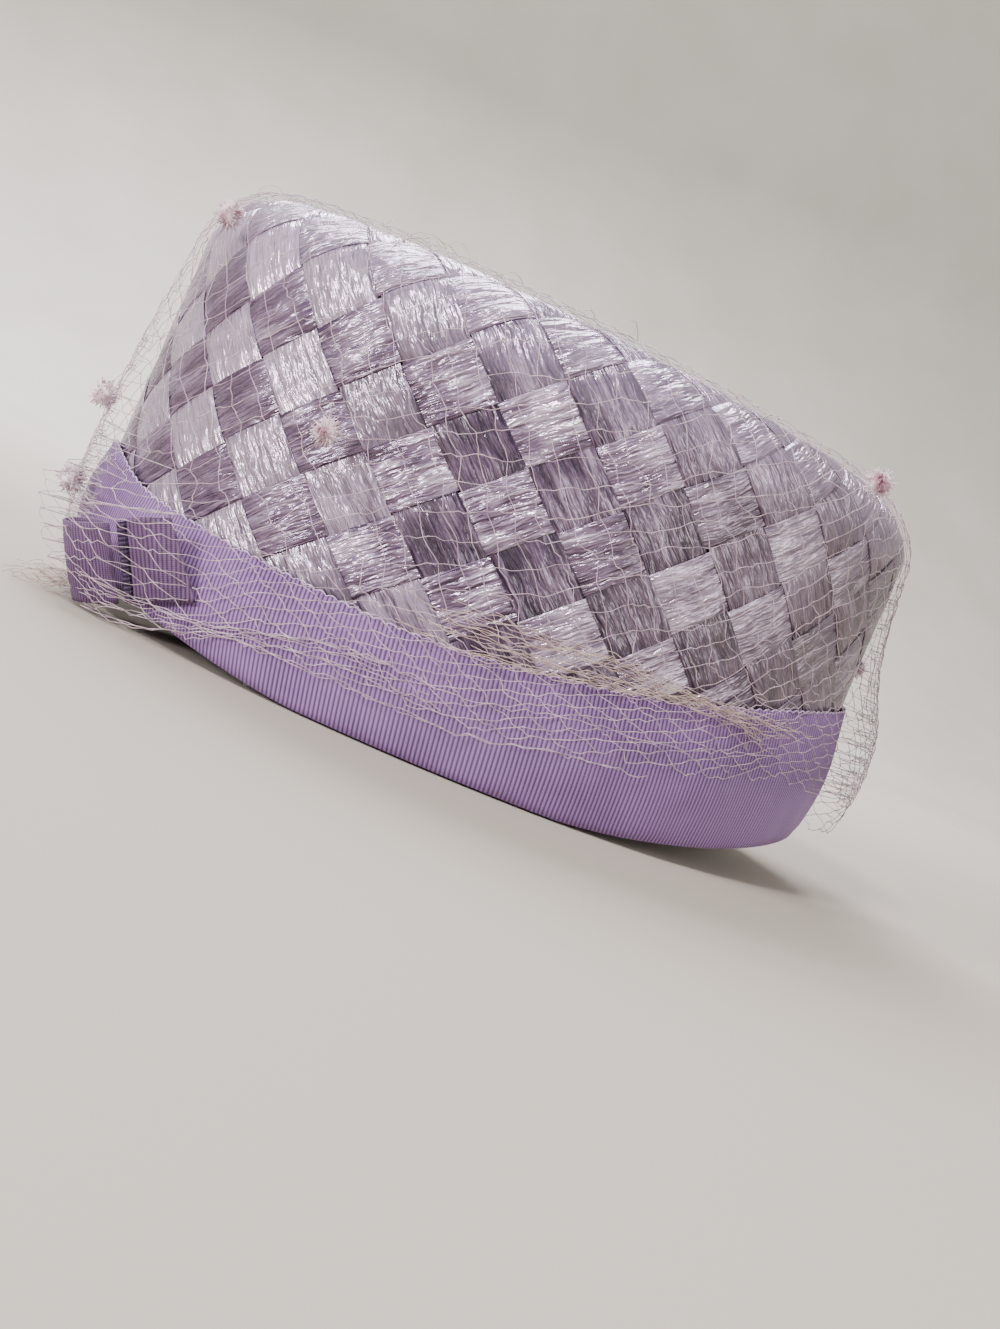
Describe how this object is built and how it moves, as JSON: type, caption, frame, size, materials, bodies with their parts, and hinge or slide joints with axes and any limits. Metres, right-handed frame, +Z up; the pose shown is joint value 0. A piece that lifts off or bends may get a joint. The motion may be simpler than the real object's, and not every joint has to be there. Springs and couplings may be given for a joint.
{
  "type": "pillbox hat",
  "caption": "Oval pillbox hat of diagonally woven straw strips with a ribbon band, a small bow and a dotted net veil.",
  "frame": {"origin": "under the middle of the whole hat, on the surface it rests on", "axes": "+Z up through the crown, -Y towards the front of the hat, +X towards the wearer's left"},
  "size_m": [0.1852, 0.2266, 0.1153],
  "materials": {
    "straw": "glossy synthetic raffia strips, crinkled lengthwise",
    "ribbon": "ribbed grosgrain",
    "net": "fine open net",
    "chenille": "soft pile"
  },
  "bodies": {
    "root": {"crown_side": "straw", "crown_shoulder": "straw", "crown_tip": "straw", "ribbon_band": "ribbon", "bow_knot": "ribbon", "bow_loop_far": "ribbon", "bow_tail_near": "ribbon", "veil_net": "net", "veil_dot_1": "chenille", "veil_dot_2": "chenille", "veil_dot_3": "chenille", "veil_dot_4": "chenille", "veil_dot_5": "chenille", "veil_dot_6": "chenille", "veil_dot_7": "chenille", "veil_dot_8": "chenille"}
  },
  "joints": []
}
